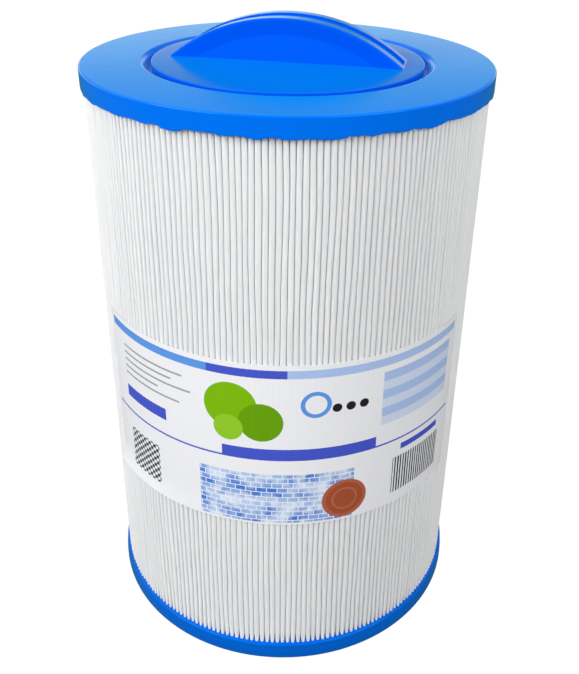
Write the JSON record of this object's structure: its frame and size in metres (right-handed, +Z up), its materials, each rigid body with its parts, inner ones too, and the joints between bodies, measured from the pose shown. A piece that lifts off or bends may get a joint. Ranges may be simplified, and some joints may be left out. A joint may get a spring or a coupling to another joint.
{
  "type": "filter cartridge",
  "caption": "Round pleated water filter cartridge with a cast cap at each end, an arched lifting handle on top, a hollow lattice core and a standpipe bore below.",
  "frame": {"origin": "centre of the bottom cap's flat face, on the cartridge's axis", "axes": "+Z up along the cartridge to the handle, X along the handle, -Y on the label's side"},
  "size_m": [0.178, 0.178, 0.2883],
  "materials": {
    "cap_polyurethane": "cast polyurethane, glossy blue, slightly elastic",
    "handle_plastic": "injection moulded, polished blue",
    "core_plastic": "injection moulded, white",
    "filter_felt": "spunbonded polyester felt, white, soft sheen",
    "hot_melt": "hot melt glue, milky",
    "label_paper": "coated paper, printed"
  },
  "bodies": {
    "root": {"top_end_cap": "cap_polyurethane", "handle_plate": "handle_plastic", "core_section_1": "core_plastic", "core_section_2": "core_plastic", "core_section_3": "core_plastic", "core_section_4": "core_plastic", "bottom_end_cap": "cap_polyurethane", "pleated_media": "filter_felt", "side_seam_strip": "hot_melt", "label": "label_paper"}
  },
  "joints": []
}
